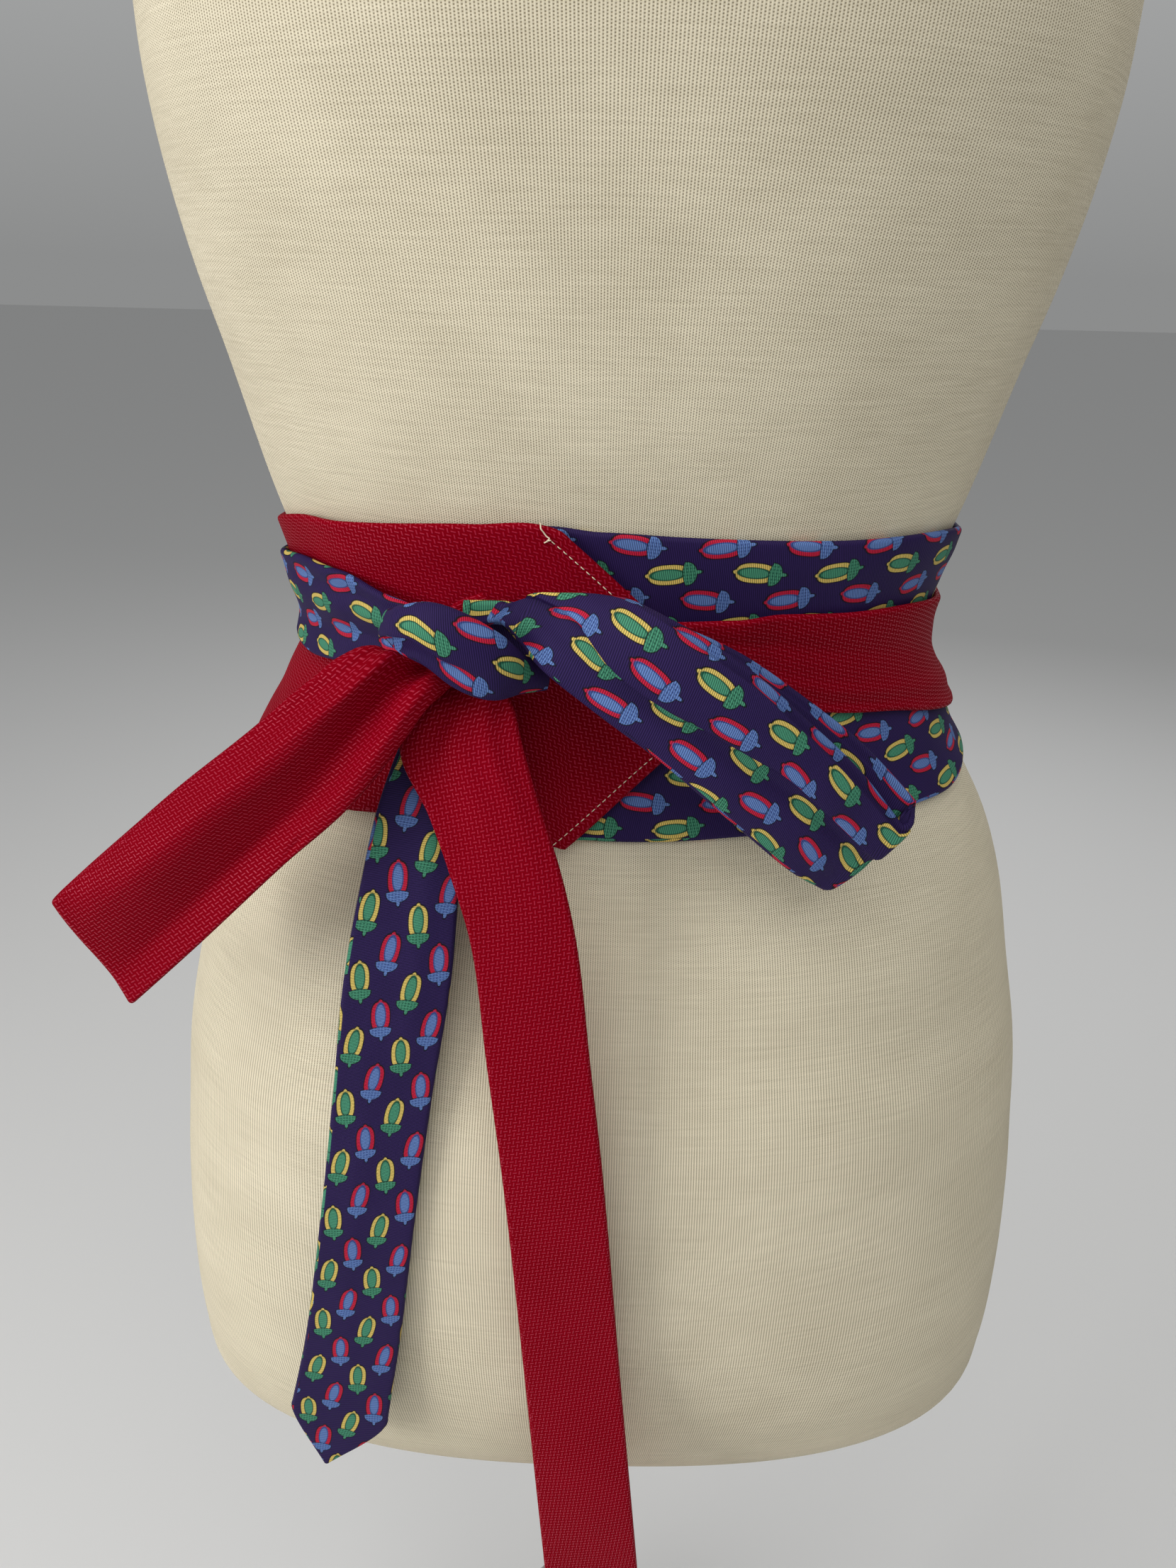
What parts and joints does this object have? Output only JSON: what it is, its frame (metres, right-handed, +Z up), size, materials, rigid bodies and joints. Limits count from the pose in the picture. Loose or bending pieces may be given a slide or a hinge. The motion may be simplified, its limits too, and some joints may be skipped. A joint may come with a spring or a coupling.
{
  "type": "obi belt made of two neckties, on a limbless dress form",
  "caption": "Wide wrapped belt made of a plain and a patterned necktie, tied in a bow with hanging tails, on a limbless dress form with a turned wooden stand.",
  "frame": {"origin": "on the floor, on the axis of the stand's pole", "axes": "+Z up along the pole, -Y the belt's front with the bow, +X to the right as seen from the front"},
  "size_m": [0.4044, 0.4044, 1.46],
  "materials": {
    "jersey": "cream cotton jersey, fine wales",
    "red_silk": "red silk with a small basket weave, soft sheen",
    "navy_silk": "printed purple-navy silk twill, soft sheen",
    "dark_wood": "dark brown satin varnish"
  },
  "bodies": {
    "root": {"form_body": "jersey", "stand_pole": "dark_wood", "stand_hub": "dark_wood", "stand_leg_1": "dark_wood", "stand_leg_2": "dark_wood", "stand_leg_3": "dark_wood", "stand_leg_4": "dark_wood", "red_blade": "red_silk", "red_band": "red_silk", "red_loop": "red_silk", "red_tail": "red_silk", "red_tuck": "red_silk", "navy_blade": "navy_silk", "navy_band": "navy_silk", "navy_loop": "navy_silk", "navy_tail": "navy_silk", "navy_knot": "navy_silk"}
  },
  "joints": []
}
